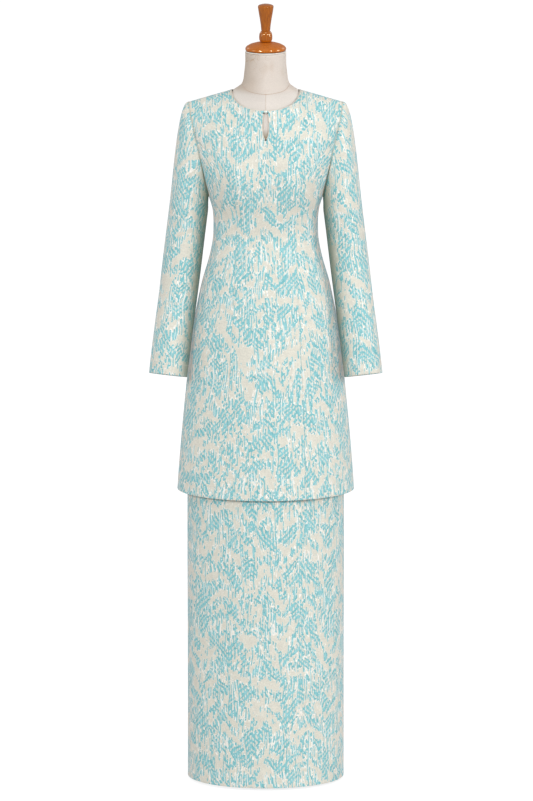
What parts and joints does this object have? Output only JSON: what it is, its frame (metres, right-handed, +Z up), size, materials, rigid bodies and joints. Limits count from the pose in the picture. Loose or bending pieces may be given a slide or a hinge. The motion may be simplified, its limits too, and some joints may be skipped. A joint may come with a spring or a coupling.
{
  "type": "baju kurung on a dress form",
  "caption": "Long-sleeved tunic with a round neck and keyhole slit over a straight ankle-length skirt, worn by a limbless dress form with a turned wooden knob.",
  "frame": {"origin": "on the floor, under the middle of the dress form's round base", "axes": "+Z up the form, the garment's front faces -Y, the wearer's left is +X"},
  "size_m": [0.4916, 0.308, 1.658],
  "materials": {
    "brocade": "satin",
    "facing": "matte",
    "form_cover": "matte",
    "piping": "matte",
    "wood": "gloss",
    "steel": "satin"
  },
  "bodies": {
    "root": {"tunic_front": "brocade", "tunic_side_front_left": "brocade", "tunic_side_front_right": "brocade", "tunic_back": "brocade", "sleeve_left": "brocade", "sleeve_right": "brocade", "keyhole_facing": "facing", "skirt_front": "brocade", "skirt_back": "brocade", "skirt_waistband": "brocade", "form_torso": "form_cover", "form_neck_trim": "piping", "form_neck_cap": "wood", "form_finial": "wood", "form_pole": "steel", "form_base": "steel"}
  },
  "joints": []
}
